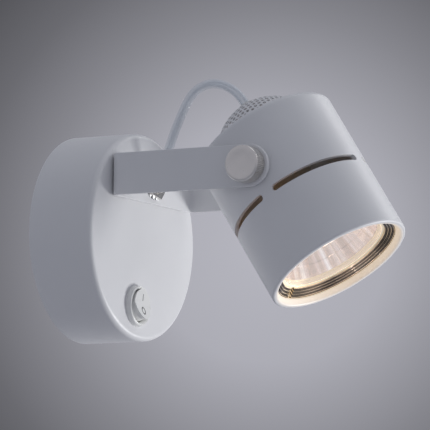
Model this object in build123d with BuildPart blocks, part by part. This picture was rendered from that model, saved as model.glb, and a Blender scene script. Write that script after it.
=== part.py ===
"""Pivoting spotlight wall light.

A round canopy on the wall carries a rocker switch and a hollow nipple. A U-shaped
bracket of flat strip turns on the nipple and carries the lamp head between its arms,
on two knurled knobs. Origin: centre of the canopy's back, on the wall. The wall is the
XZ plane, the light stands out along -Y, and +Z is up. Sizes are in millimetres.
"""
import os
from math import asin, cos, pi, radians, sin, sqrt, tan

from build123d import *

os.makedirs("parts", exist_ok=True)

# ---------------------------------------------------------------- driving sizes
# fits
face_gap = 0.1  # between flat faces that slide on each other
running_gap = 0.08  # round a shaft that turns
clearance = 0.15  # round a screw, plug or tube that stays put

# canopy
canopy_diameter = 90.0
canopy_depth = 30.4
canopy_wall = 1.5
canopy_edge_radius = 2.3
ridge_depth = 0.7  # inward ridge that the wall plate's beads snap behind
ridge_width = 1.6
ridge_start = 1.0  # from the wall

# wall plate
plate_thickness = 1.5
plate_middle_diameter = 44.0
ear_width = 14.0
ear_height = 8.0
ear_clearance = 0.25
bead_length = 7.0
bead_width = 1.6
bead_gap = 0.4  # from the ridge to the bead
plate_hole_spacing = 60.0
plate_slot_length = 9.0
plate_slot_width = 4.6
mains_entry_diameter = 16.0
mains_entry_rise = 9.0

# terminals on the wall plate
block_size = (25.0, 15.0, 13.0)
block_drop = 13.0
block_pole_spacing = 13.0
pole_tube_diameter = 5.4
pole_tube_bore = 3.2
pole_height = 5.5
pole_screw_diameter = 3.0
pole_screw_spacing = 7.0
block_screw_diameter = 3.0
block_screw_head = 5.4
block_screw_head_height = 1.8
block_screw_seat = 6.0
earth_screw_place = (14.5, 9.0)
earth_screw_diameter = 4.0
earth_head_diameter = 7.5
earth_head_height = 2.6

# rocker switch, low on the canopy's face
switch_from_edge = 14.1  # from the canopy's edge to the switch's middle
bezel_diameter = 18.0
bezel_height = 2.2
well_diameter = 14.0
well_depth = 4.6
well_flare = 0.55  # the well widens by this at its mouth
well_flare_depth = 1.0
barrel_diameter = 15.6
barrel_length = 12.0
rocker_diameter = 13.2
rocker_gap = 0.35  # between its round belly and the well
rocker_belly_top = 21.0  # the belly is part of a ball about the pin, to this angle
rocker_crease = 3.55  # from the pin's axis out to the crease in the rocker's face
rocker_foot = 1.6  # from the pin's axis in to the rocker's underside
rocker_slope = 10.0  # each half of the face rises from the crease, degrees
rocker_tilt = 10.0  # the top half is pressed in by this angle
rocker_pin_height = -0.5  # the pin's axis is this far out of the canopy's face
rocker_pin_diameter = 1.4
rocker_pin_reach = 7.45
blade_width = 4.8
blade_thickness = 0.8
blade_length = 7.5
blade_spacing = 7.0

# hollow nipple, high on the canopy's face
nipple_from_edge = 20.6  # from the canopy's edge to the nipple's axis
nipple_diameter = 10.0
nipple_bore = 7.0
nipple_inside = 8.0  # behind the canopy's face
nipple_mouth = 1.0  # bevel at the mouth, where the cable bends away
nipple_past_nut = 0.4
nut_across_flats = 12.6
front_nut_thickness = 1.9
back_nut_thickness = 3.0
lock_washer_diameter = 14.4
lock_washer_thickness = 0.5
lock_washer_teeth = 14
lock_washer_notch = 1.3
slip_washer_diameter = 15.5

# bracket
bracket_swing = 10.5  # the bracket is turned this far on the canopy, degrees
web_gap = 0.54  # between the canopy's face and the bracket
strip_width = 18.0
strip_thickness = 1.8
strip_edge = 0.35  # rounding along the strip's edges
bend_radius = 2.1  # inside the bend
pivot_reach = 98.1  # from the wall to the head's pivot
arm_gap = 0.8  # between an arm and the head
arm_washer_diameter = 10.0
arm_washer_thickness = 0.5

# lamp head, measured along its own axis from the pivot
head_tilt = 57.4  # below horizontal, degrees
head_diameter = 63.6
head_front = 47.3
head_rear = 21.6
head_wall = 2.0
head_rear_radius = 2.7
lip_radius = 1.0
lip_width = 2.2
collar_bore = 56.4  # of the thicker collar inside the mouth
flare_depth = 2.3
shoulder_bore = 49.0  # the lamp's rim rests on this shoulder
shoulder_thickness = 2.0
slot_position = 14.0
slot_width = 3.0
slot_count = 4
slot_bridge = 10.0  # metal left between two slots' round ends, degrees

# knobs on the pivot
knob_diameter = 15.6
knob_height = 6.8
knob_edge = 1.0
knob_flutes = 40
flute_size = 0.6
knob_dish = 0.5
knob_dish_diameter = 12.0
stud_diameter = 4.0
stud_length = 10.2
boss_diameter = 9.0
boss_length = 6.5
boss_recess = 0.5
boss_flange_diameter = 11.0
boss_flange_thickness = 1.5

# pierced guard on the head's rear
guard_radius = 24.4
guard_height = 14.6
guard_thickness = 0.8
guard_flange_width = 3.6
guard_rows = 5
guard_first_row = 7.4  # from the dome's middle, over its surface
guard_hole = 2.6  # across a hole's flats
guard_row_pitch = 4.15
guard_hole_pitch = 4.4
guard_screw_count = 3
guard_screw_diameter = 2.5
guard_screw_head = 4.4
guard_screw_height = 1.4
guard_screw_bite = 1.4
grommet_neck = 7.0
grommet_flange = 9.2
grommet_lip = 0.9

# reflector lamp and what holds it
lamp_diameter = 50.0
lamp_front = 41.2
lamp_rim = 3.0
lamp_rim_step = 0.8
lamp_neck_diameter = 21.0
lamp_neck_start = 11.0
lamp_base_end = -4.6
lamp_base_waist = 0.5  # the base is this much slimmer than the neck
lamp_base_collar = 4.0
lamp_base_bevel = 1.0
bowl_foot = 15.0
bowl_foot_diameter = 9.0
lamp_rim_land = 1.6  # round the glass
glass_thickness = 2.0
glass_ledge = 0.6  # the glass sits on this
glass_recess = 0.2
burner_diameter = 6.5
burner_length = 15.0
burner_bevel = 1.6
pin_spacing = 10.0
pin_diameter = 4.6
pin_length = 6.0
pin_neck_diameter = 3.2
pin_neck_length = 3.0
holder_diameter = 30.0
holder_width = 20.0
holder_thickness = 10.0
holder_socket_depth = 7.5
bridge_width = 11.0
bridge_thickness = 1.2
bridge_length = 55.0
bridge_rise = 5.0  # its ends stand this far in front of its middle
bridge_middle = 35.0
bridge_screw_spacing = 47.0
bridge_screw_diameter = 3.0
bridge_head_diameter = 5.4
bridge_head_height = 1.9
bridge_screw_length = 5.0
lug_width = 9.0
lug_length = 9.5
lug_height = 6.0
holder_screw_spacing = 19.0
holder_screw_diameter = 2.8
holder_screw_head = 5.0
holder_screw_height = 1.5
holder_screw_length = 6.0
twist_angle = 35.0  # the lamp turns this far into its holder, degrees

# sprung ring in front of the lamp
ring_inner_diameter = 48.8
ring_steps = 3
ring_step_out = 1.1
ring_step_up = 0.72
ring_thickness = 0.9
ring_bead = 0.7  # stands into the collar's groove
ring_split = 2.4
ring_split_angle = 275.0  # round the head's axis, degrees

# cable from the nipple to the head: (across, up, out) from the bracket's middle, and
# its last two points on the head's axis, behind the pivot
cable_diameter = 4.0
cable_route = [
    (0.0, 0.0, -3.8),
    (0.0, 0.0, 5.7),
    (-3.4, 8.2, 8.9),
    (-5.0, 20.0, 14.0),
    (-3.4, 30.4, 17.8),
    (-2.0, 37.2, 20.8),
    (-1.2, 41.0, 25.6),
    (-0.5, 42.2, 31.8),
    (0.0, 39.6, 39.3),
]
cable_into_head = [-41.0, -33.5]

# ---------------------------------------------------------------- shared frames
canopy_radius = canopy_diameter / 2
canopy_bore = canopy_radius - canopy_wall
ridge_bore = canopy_bore - ridge_depth
nipple_rise = canopy_radius - nipple_from_edge
switch_drop = canopy_radius - switch_from_edge
head_radius = head_diameter / 2
head_bore = head_radius - head_wall
arm_inside = head_radius + arm_gap
arm_outside = arm_inside + strip_thickness
web_reach = canopy_depth + web_gap

wall = Plane.XZ  # local x is X, local y is Z, and the normal points out of the wall
nipple_frame = Plane(
    origin=(0, -canopy_depth, nipple_rise), x_dir=(1, 0, 0), z_dir=(0, -1, 0)
)
switch_frame = Plane(
    origin=(0, -canopy_depth, -switch_drop), x_dir=(1, 0, 0), z_dir=(0, -1, 0)
)
bracket_frame = Plane(
    origin=(0, -web_reach, nipple_rise),
    x_dir=(cos(radians(bracket_swing)), 0, sin(radians(bracket_swing))),
    z_dir=(0, -1, 0),
)
pivot = bracket_frame.from_local_coords(Vector(0, 0, pivot_reach - web_reach))
head_frame = Plane(
    origin=pivot,
    x_dir=bracket_frame.x_dir,
    z_dir=bracket_frame.z_dir * cos(radians(head_tilt))
    - bracket_frame.y_dir * sin(radians(head_tilt)),
)


def across(frame):
    """The plane through a frame's axis: local x is the radius, local y the height."""
    return Plane(origin=frame.origin, x_dir=frame.x_dir, z_dir=-frame.y_dir)


def axis_of(frame):
    return Axis(frame.origin, frame.z_dir)


def side_frame(side):
    """A frame on the pivot that looks out through the arm on one side, -1 or 1."""
    return Plane(origin=pivot, x_dir=head_frame.z_dir, z_dir=head_frame.x_dir * side)


def turn(frame, outline, mode=Mode.ADD):
    """Revolve a closed outline of (radius, height) corners about a frame's axis."""
    with BuildSketch(across(frame)) as section:
        with BuildLine():
            Polyline(*outline, close=True)
        make_face()
    revolve(section.sketch, axis=axis_of(frame), mode=mode)


def disc(frame, height, radius, thickness, bore=0.0, mode=Mode.ADD):
    """A round plate, or a tube, that starts at a height on a frame's axis."""
    with BuildSketch(frame.offset(height)) as section:
        Circle(radius)
        if bore:
            Circle(bore, mode=Mode.SUBTRACT)
    extrude(section.sketch, amount=thickness, mode=mode)


def hex_nut(frame, height, thickness, bore):
    with BuildSketch(frame.offset(height)) as section:
        RegularPolygon(nut_across_flats / 2, 6, major_radius=False)
        Circle(bore, mode=Mode.SUBTRACT)
    extrude(section.sketch, amount=thickness)


# ---------------------------------------------------------------- wall plate
ear_outside = sqrt((ridge_bore - ear_clearance) ** 2 - (ear_width / 2) ** 2)
bead_outside = sqrt((canopy_bore - ear_clearance) ** 2 - (bead_length / 2) ** 2)
bead_start = ridge_start + ridge_width + bead_gap
earth_screw_frame = Plane(
    origin=wall.from_local_coords(Vector(*earth_screw_place, 0)),
    x_dir=(1, 0, 0),
    z_dir=(0, -1, 0),
)
block_frame = Plane(
    origin=(0, -plate_thickness, -block_drop), x_dir=(1, 0, 0), z_dir=(0, -1, 0)
)

with BuildPart() as wall_plate:
    with BuildSketch(wall):
        Rectangle(2 * ear_outside, ear_width)
        Circle(plate_middle_diameter / 2)
        with Locations((0, mains_entry_rise)):
            Circle(mains_entry_diameter / 2, mode=Mode.SUBTRACT)
        with Locations((-plate_hole_spacing / 2, 0), (plate_hole_spacing / 2, 0)):
            SlotOverall(plate_slot_length, plate_slot_width, mode=Mode.SUBTRACT)
        with Locations(earth_screw_place):
            Circle(earth_screw_diameter / 2 + clearance, mode=Mode.SUBTRACT)
        with Locations((0, -block_drop)):
            Circle(block_screw_diameter / 2 + clearance, mode=Mode.SUBTRACT)
    extrude(amount=plate_thickness)
    ear_middle = ear_outside - plate_thickness / 2
    with BuildSketch(wall.offset(plate_thickness)):
        with Locations((-ear_middle, 0), (ear_middle, 0)):
            Rectangle(plate_thickness, ear_width)
    extrude(amount=ear_height)
    bead_middle = (ear_outside + bead_outside) / 2
    with BuildSketch(wall.offset(bead_start)):
        with Locations((-bead_middle, 0), (bead_middle, 0)):
            Rectangle(bead_outside - ear_outside, bead_length)
    extrude(amount=bead_width)
wall_plate.part.label = "wall_plate"
export_step(wall_plate.part, "parts/wall_plate.step")

with BuildPart() as earth_screw:
    disc(earth_screw_frame, plate_thickness, earth_head_diameter / 2, earth_head_height)
    disc(earth_screw_frame, 0, earth_screw_diameter / 2, plate_thickness)
    head_top = earth_screw_frame.offset(plate_thickness + earth_head_height)
    with BuildSketch(head_top):
        Rectangle(earth_head_diameter * 0.7, 1.0)
        Rectangle(1.0, earth_head_diameter * 0.7)
    extrude(amount=-earth_head_height / 2, mode=Mode.SUBTRACT)
earth_screw.part.label = "earth_screw"
export_step(earth_screw.part, "parts/earth_screw.step")

pole_places = [(-block_pole_spacing / 2, 0), (block_pole_spacing / 2, 0)]
screw_wells = [
    (x, y)
    for x in (-block_pole_spacing / 2, block_pole_spacing / 2)
    for y in (-pole_screw_spacing / 2, pole_screw_spacing / 2)
]
pole_end = Plane(
    origin=block_frame.from_local_coords(Vector(0, block_size[1] / 2, pole_height)),
    x_dir=(1, 0, 0),
    z_dir=(0, 0, -1),
)

with BuildPart() as terminal_block:
    with BuildSketch(block_frame):
        RectangleRounded(block_size[0], block_size[1], 1.5)
    extrude(amount=block_size[2])
    with BuildSketch(block_frame.offset(block_size[2])):
        Rectangle(1.6, block_size[1])
    extrude(amount=-block_size[2] / 3, mode=Mode.SUBTRACT)
    disc(
        block_frame,
        0,
        block_screw_diameter / 2 + clearance,
        block_size[2],
        mode=Mode.SUBTRACT,
    )
    disc(
        block_frame,
        block_screw_seat,
        block_screw_head / 2 + clearance,
        block_size[2],
        mode=Mode.SUBTRACT,
    )
    with BuildSketch(pole_end):
        with Locations(pole_places):
            Circle(pole_tube_diameter / 2 + clearance)
    extrude(amount=block_size[1], mode=Mode.SUBTRACT)
    with BuildSketch(block_frame.offset(pole_height)):
        with Locations(screw_wells):
            Circle(pole_screw_diameter / 2 + clearance)
    extrude(amount=block_size[2] - pole_height, mode=Mode.SUBTRACT)
terminal_block.part.label = "terminal_block"
export_step(terminal_block.part, "parts/terminal_block.step")

with BuildPart() as terminal_tubes:
    with BuildSketch(pole_end.offset(1.0)):
        with Locations(pole_places):
            Circle(pole_tube_diameter / 2)
            Circle(pole_tube_bore / 2, mode=Mode.SUBTRACT)
    extrude(amount=block_size[1] - 2.0)
    with BuildSketch(block_frame.offset(pole_height)):
        with Locations(screw_wells):
            Circle(pole_screw_diameter / 2 + clearance)
    extrude(amount=pole_tube_diameter, mode=Mode.SUBTRACT)
terminal_tubes.part.label = "terminal_tubes"
export_step(terminal_tubes.part, "parts/terminal_tubes.step")

screw_foot = pole_height + pole_tube_bore / 4
with BuildPart() as terminal_screws:
    with BuildSketch(block_frame.offset(screw_foot)):
        with Locations(screw_wells):
            Circle(pole_screw_diameter / 2)
    extrude(amount=block_size[2] - 2.0 - screw_foot)
    with BuildSketch(block_frame.offset(block_size[2] - 2.0)):
        with Locations(screw_wells):
            Rectangle(pole_screw_diameter + 1, 0.6)
    extrude(amount=-1.0, mode=Mode.SUBTRACT)
terminal_screws.part.label = "terminal_screws"
export_step(terminal_screws.part, "parts/terminal_screws.step")

with BuildPart() as block_screw:
    disc(
        block_frame,
        -plate_thickness,
        block_screw_diameter / 2,
        plate_thickness + block_screw_seat,
    )
    disc(block_frame, block_screw_seat, block_screw_head / 2, block_screw_head_height)
block_screw.part.label = "block_screw"
export_step(block_screw.part, "parts/block_screw.step")

# ---------------------------------------------------------------- canopy
canopy_back = canopy_depth - canopy_wall
ridge_end = ridge_start + ridge_width
ridge_slope = ridge_width / 4
with BuildPart() as canopy_cover:
    turn(
        wall,
        [
            (0, canopy_depth),
            (canopy_radius, canopy_depth),
            (canopy_radius, 0),
            (canopy_bore, 0),
            (canopy_bore, ridge_start),
            (ridge_bore, ridge_start + ridge_slope),
            (ridge_bore, ridge_end - ridge_slope),
            (canopy_bore, ridge_end),
            (canopy_bore, canopy_back),
            (0, canopy_back),
        ],
    )
    rims = canopy_cover.edges().filter_by(GeomType.CIRCLE).sort_by(Axis.Y)
    fillet(rims[0], canopy_edge_radius)
    disc(
        nipple_frame,
        -canopy_wall,
        nipple_diameter / 2 + clearance,
        canopy_wall,
        mode=Mode.SUBTRACT,
    )
    disc(
        switch_frame,
        -canopy_wall,
        barrel_diameter / 2 + clearance,
        canopy_wall,
        mode=Mode.SUBTRACT,
    )
canopy_cover.part.label = "canopy_cover"
export_step(canopy_cover.part, "parts/canopy_cover.step")

# ---------------------------------------------------------------- rocker switch
bezel_radius = bezel_diameter / 2
well_radius = well_diameter / 2
rocker_pin = switch_frame.from_local_coords(Vector(0, 0, rocker_pin_height))
rocker_frame = Plane(
    origin=rocker_pin,
    x_dir=(1, 0, 0),
    z_dir=(0, -cos(radians(rocker_tilt)), sin(radians(rocker_tilt))),
)
rocker_side = Plane(
    origin=rocker_pin, x_dir=rocker_frame.y_dir, z_dir=rocker_frame.x_dir
)
pin_frame = Plane(origin=rocker_pin, x_dir=(0, 0, 1), z_dir=(1, 0, 0))
switch_hole_reach = rocker_pin_reach + clearance

with BuildPart() as switch_body:
    turn(
        switch_frame,
        [
            (0, -barrel_length),
            (barrel_diameter / 2, -barrel_length),
            (barrel_diameter / 2, 0),
            (bezel_radius, 0),
            (bezel_radius, bezel_height * 0.35),
            (bezel_radius - 0.5, bezel_height * 0.7),
            (bezel_radius - 1.2, bezel_height * 0.95),
            (well_radius + well_flare, bezel_height),
            (well_radius, bezel_height - well_flare_depth),
            (well_radius, -well_depth),
            (0, -well_depth),
        ],
    )
    with BuildSketch(pin_frame):
        Circle(rocker_pin_diameter / 2 + running_gap)
    extrude(amount=switch_hole_reach, both=True, mode=Mode.SUBTRACT)
switch_body.part.label = "switch_body"
export_step(switch_body.part, "parts/switch_body.step")

with BuildPart() as switch_blades:
    with BuildSketch(switch_frame.offset(-barrel_length)):
        with GridLocations(blade_spacing, 1, 2, 1):
            Rectangle(blade_thickness, blade_width)
    extrude(amount=-blade_length)
    blade_middle = -barrel_length - blade_length * 0.6
    blade_side = Plane(
        origin=switch_frame.from_local_coords(Vector(0, 0, blade_middle)),
        x_dir=(0, 0, 1),
        z_dir=(1, 0, 0),
    )
    with BuildSketch(blade_side):
        Circle(blade_width / 6)
    extrude(amount=blade_spacing, both=True, mode=Mode.SUBTRACT)
switch_blades.part.label = "switch_blades"
export_step(switch_blades.part, "parts/switch_blades.step")

rocker_radius = rocker_diameter / 2
rocker_rise = rocker_diameter * tan(radians(rocker_slope))
rocker_top = rocker_crease + rocker_rise / 2
belly_radius = well_radius - rocker_gap
belly_foot = (sqrt(belly_radius**2 - rocker_foot**2), -rocker_foot)
belly_angle = radians(rocker_belly_top)
belly_end = (belly_radius * cos(belly_angle), belly_radius * sin(belly_angle))
with BuildPart() as switch_rocker:
    with BuildSketch(across(rocker_frame)):
        with BuildLine():
            ThreePointArc(belly_foot, (belly_radius, 0), belly_end)
            Polyline(
                belly_end,
                (rocker_radius, rocker_top),
                (0, rocker_top),
                (0, -rocker_foot),
                belly_foot,
            )
        make_face()
    revolve(axis=axis_of(rocker_frame))
    with BuildSketch(rocker_side):
        with BuildLine():
            Polyline(
                (0, rocker_crease),
                (rocker_diameter, rocker_crease + rocker_rise),
                (rocker_diameter, -rocker_foot),
                (-rocker_diameter, -rocker_foot),
                (-rocker_diameter, rocker_crease + rocker_rise),
                close=True,
            )
        make_face()
    extrude(amount=rocker_diameter, both=True, mode=Mode.INTERSECT)
    with BuildSketch(pin_frame):
        Circle(rocker_pin_diameter / 2)
    extrude(amount=rocker_pin_reach, both=True)
switch_rocker.part.label = "switch_rocker"
export_step(switch_rocker.part, "parts/switch_rocker.step")

# ---------------------------------------------------------------- nipple and its nuts
nipple_radius = nipple_diameter / 2
web_front = web_gap + strip_thickness  # out of the canopy's face
lock_washer_foot = web_front + face_gap
front_nut_foot = lock_washer_foot + lock_washer_thickness
nipple_end = front_nut_foot + front_nut_thickness + nipple_past_nut

with BuildPart() as nipple:
    turn(
        nipple_frame,
        [
            (nipple_bore / 2, -nipple_inside),
            (nipple_radius, -nipple_inside),
            (nipple_radius, nipple_end),
            (nipple_bore / 2 + nipple_mouth, nipple_end),
            (nipple_bore / 2, nipple_end - nipple_mouth),
        ],
    )
nipple.part.label = "nipple"
export_step(nipple.part, "parts/nipple.step")

with BuildPart() as back_nut:
    hex_nut(
        nipple_frame,
        -canopy_wall - back_nut_thickness,
        back_nut_thickness,
        nipple_radius + running_gap,
    )
back_nut.part.label = "back_nut"
export_step(back_nut.part, "parts/back_nut.step")

with BuildPart() as slip_washer:
    disc(
        nipple_frame,
        0,
        slip_washer_diameter / 2,
        web_gap - face_gap,
        nipple_radius + clearance,
    )
slip_washer.part.label = "slip_washer"
export_step(slip_washer.part, "parts/slip_washer.step")

with BuildPart() as lock_washer:
    with BuildSketch(nipple_frame.offset(lock_washer_foot)):
        Circle(lock_washer_diameter / 2)
        Circle(nipple_radius + clearance, mode=Mode.SUBTRACT)
        with PolarLocations(lock_washer_diameter / 2, lock_washer_teeth):
            Rectangle(2 * lock_washer_notch, lock_washer_notch, mode=Mode.SUBTRACT)
    extrude(amount=lock_washer_thickness)
lock_washer.part.label = "lock_washer"
export_step(lock_washer.part, "parts/lock_washer.step")

with BuildPart() as front_nut:
    hex_nut(
        nipple_frame, front_nut_foot, front_nut_thickness, nipple_radius + running_gap
    )
front_nut.part.label = "front_nut"
export_step(front_nut.part, "parts/front_nut.step")

# ---------------------------------------------------------------- bracket
pivot_out = pivot_reach - web_reach
strip_end = strip_width / 2
bracket_side = Plane(
    origin=bracket_frame.origin, x_dir=bracket_frame.z_dir, z_dir=bracket_frame.x_dir
)
stud_hole = stud_diameter / 2 + running_gap

with BuildPart() as bracket:
    with BuildSketch(across(bracket_frame)) as u_shape:
        with Locations((0, (pivot_out + strip_end) / 2)):
            Rectangle(2 * arm_outside, pivot_out + strip_end)
        rear_corners = u_shape.vertices().group_by(Axis.Y)[0]
        fillet(rear_corners, bend_radius + strip_thickness)
        with BuildSketch(mode=Mode.SUBTRACT) as inside:
            with Locations((0, strip_thickness + pivot_out)):
                Rectangle(2 * arm_inside, 2 * pivot_out)
            fillet(inside.vertices().group_by(Axis.Y)[0], bend_radius)
    extrude(amount=strip_end, both=True)
    with BuildSketch(bracket_side):
        with Locations((pivot_out / 2, 0)):
            Rectangle(pivot_out, strip_width)
        with Locations((pivot_out, 0)):
            Circle(strip_end)
    extrude(amount=arm_outside, both=True, mode=Mode.INTERSECT)
    across_strip = Axis(bracket_frame.origin, bracket_frame.y_dir)
    fillet(bracket.edges().filter_by(across_strip, reverse=True), strip_edge)
    with BuildSketch(bracket_side):
        with Locations((pivot_out, 0)):
            Circle(stud_hole)
    extrude(amount=arm_outside, both=True, mode=Mode.SUBTRACT)
    disc(
        bracket_frame,
        0,
        nipple_radius + running_gap,
        strip_thickness,
        mode=Mode.SUBTRACT,
    )
bracket.part.label = "bracket"
export_step(bracket.part, "parts/bracket.step")

with BuildPart() as arm_washers:
    for side in (-1, 1):
        disc(
            side_frame(side),
            arm_inside - arm_washer_thickness,
            arm_washer_diameter / 2,
            arm_washer_thickness,
            stud_diameter / 2 + clearance,
        )
arm_washers.part.label = "arm_washers"
export_step(arm_washers.part, "parts/arm_washers.step")

# ---------------------------------------------------------------- knobs
knob_radius = knob_diameter / 2


def knob(side):
    """A knurled screw: its stud passes through the arm into the head's boss."""
    frame = side_frame(side).offset(arm_outside + face_gap)
    turn(
        frame,
        [
            (0, 0),
            (knob_radius, 0),
            (knob_radius, knob_height - knob_edge),
            (knob_radius - knob_edge, knob_height),
            (knob_dish_diameter / 2, knob_height),
            (knob_dish_diameter / 4, knob_height - knob_dish * 3 / 4),
            (0, knob_height - knob_dish),
        ],
    )
    with BuildSketch(frame) as flutes:
        with PolarLocations(knob_radius, knob_flutes):
            Rectangle(flute_size, flute_size, rotation=45)
    extrude(flutes.sketch, amount=knob_height, mode=Mode.SUBTRACT)
    disc(frame, -stud_length, stud_diameter / 2, stud_length)


with BuildPart() as knob_left:
    knob(-1)
knob_left.part.label = "knob_left"
export_step(knob_left.part, "parts/knob_left.step")

with BuildPart() as knob_right:
    knob(1)
knob_right.part.label = "knob_right"
export_step(knob_right.part, "parts/knob_right.step")

# ---------------------------------------------------------------- rear guard
guard_centre = guard_height - guard_radius  # of its sphere, out of the head's rear face
guard_inside = guard_radius - guard_thickness
guard_foot = sqrt(guard_radius**2 - guard_centre**2)
guard_foot_bore = sqrt(guard_inside**2 - guard_centre**2)
grommet_hole = grommet_neck / 2 + clearance
# looks back out of the head's rear face
rear_frame = Plane(
    origin=head_frame.from_local_coords(Vector(0, 0, -head_rear)),
    x_dir=head_frame.x_dir,
    z_dir=-head_frame.z_dir,
)
inner_face = -head_wall  # of the rear wall, in that frame
guard_hole_frames = []
for row in range(guard_rows):
    tilt = (guard_first_row + row * guard_row_pitch) / guard_radius
    ring_length = 2 * pi * guard_radius * sin(tilt)
    holes = round(ring_length / guard_hole_pitch)
    for hole in range(holes):
        bearing = 2 * pi * (hole + (row % 2) / 2) / holes
        outward = (
            rear_frame.x_dir * sin(tilt) * cos(bearing)
            + rear_frame.y_dir * sin(tilt) * sin(bearing)
            + rear_frame.z_dir * cos(tilt)
        )
        middle = rear_frame.from_local_coords(Vector(0, 0, guard_centre))
        sideways = rear_frame.y_dir * cos(bearing) - rear_frame.x_dir * sin(bearing)
        guard_hole_frames.append(
            Plane(
                origin=middle + outward * (guard_inside - guard_thickness),
                x_dir=sideways,
                z_dir=outward,
            )
        )
guard_screw_circle = (guard_foot + guard_flange_width + guard_foot) / 2

with BuildPart() as rear_guard:
    with BuildSketch(across(rear_frame)):
        with Locations((0, guard_centre)):
            Circle(guard_radius)
            Circle(guard_inside, mode=Mode.SUBTRACT)
        with Locations((grommet_hole, 0)):
            Rectangle(
                guard_foot,
                guard_height,
                align=(Align.MIN, Align.MIN),
                mode=Mode.INTERSECT,
            )
    revolve(axis=axis_of(rear_frame))
    turn(
        rear_frame,
        [
            (guard_foot_bore, 0),
            (guard_foot, 0),
            (guard_foot, inner_face),
            (guard_foot + guard_flange_width, inner_face),
            (guard_foot + guard_flange_width, inner_face - guard_thickness),
            (guard_foot_bore, inner_face - guard_thickness),
        ],
    )
    with BuildSketch(*guard_hole_frames):
        RegularPolygon(guard_hole / 2, 6, major_radius=False)
    extrude(amount=3 * guard_thickness, mode=Mode.SUBTRACT)
    with BuildSketch(rear_frame.offset(inner_face)):
        with PolarLocations(guard_screw_circle, guard_screw_count):
            Circle(guard_screw_diameter / 2 + clearance)
    extrude(amount=-guard_thickness, mode=Mode.SUBTRACT)
rear_guard.part.label = "rear_guard"
export_step(rear_guard.part, "parts/rear_guard.step")

guard_screw_end = inner_face + guard_screw_bite
with BuildPart() as guard_screws:
    with BuildSketch(rear_frame.offset(inner_face - guard_thickness)):
        with PolarLocations(guard_screw_circle, guard_screw_count):
            Circle(guard_screw_head / 2)
    extrude(amount=-guard_screw_height)
    with BuildSketch(rear_frame.offset(guard_screw_end)):
        with PolarLocations(guard_screw_circle, guard_screw_count):
            Circle(guard_screw_diameter / 2)
    extrude(amount=-guard_screw_bite - guard_thickness)
guard_screws.part.label = "guard_screws"
export_step(guard_screws.part, "parts/guard_screws.step")

outer_seat = guard_centre + sqrt(guard_radius**2 - grommet_hole**2)
inner_seat = guard_centre + sqrt(guard_inside**2 - (grommet_flange / 2) ** 2)
grommet_bore = cable_diameter / 2 + clearance
with BuildPart() as cable_grommet:
    turn(
        rear_frame,
        [
            (grommet_bore, inner_seat - grommet_lip),
            (grommet_flange / 2, inner_seat - grommet_lip),
            (grommet_flange / 2, inner_seat),
            (grommet_neck / 2, inner_seat),
            (grommet_neck / 2, outer_seat),
            (grommet_flange / 2, outer_seat),
            (grommet_flange / 2 - grommet_lip / 3, outer_seat + grommet_lip),
            (grommet_bore, outer_seat + grommet_lip),
        ],
    )
cable_grommet.part.label = "cable_grommet"
export_step(cable_grommet.part, "parts/cable_grommet.step")

# ---------------------------------------------------------------- head shell
lamp_rim_foot = lamp_front - lamp_rim
ring_foot = lamp_front
ring_outside = ring_inner_diameter / 2 + ring_steps * ring_step_out
ring_top = ring_foot + ring_thickness + ring_steps * ring_step_up
collar_radius = collar_bore / 2
groove_radius = collar_radius + ring_bead + clearance
lip_inside = head_radius - lip_width
lug_front = lamp_base_end - holder_thickness - bridge_thickness + bridge_rise
bridge_screw_places = [(0, -bridge_screw_spacing / 2), (0, bridge_screw_spacing / 2)]
slot_end_angle = radians(slot_bridge / 2) + asin(slot_width / 2 / head_radius)
slot_bridge_width = 2 * head_radius * sin(slot_end_angle)
slot_ends = []
for bridge in range(slot_count):
    for side in (-1, 1):
        bearing = 2 * pi * bridge / slot_count + side * slot_end_angle
        outward = head_frame.x_dir * cos(bearing) + head_frame.y_dir * sin(bearing)
        slot_ends.append(
            Plane(
                origin=head_frame.from_local_coords(Vector(0, 0, slot_position))
                + outward * (head_bore - 1),
                x_dir=head_frame.z_dir,
                z_dir=outward,
            )
        )
boss_hole = boss_diameter / 2 + clearance

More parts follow.
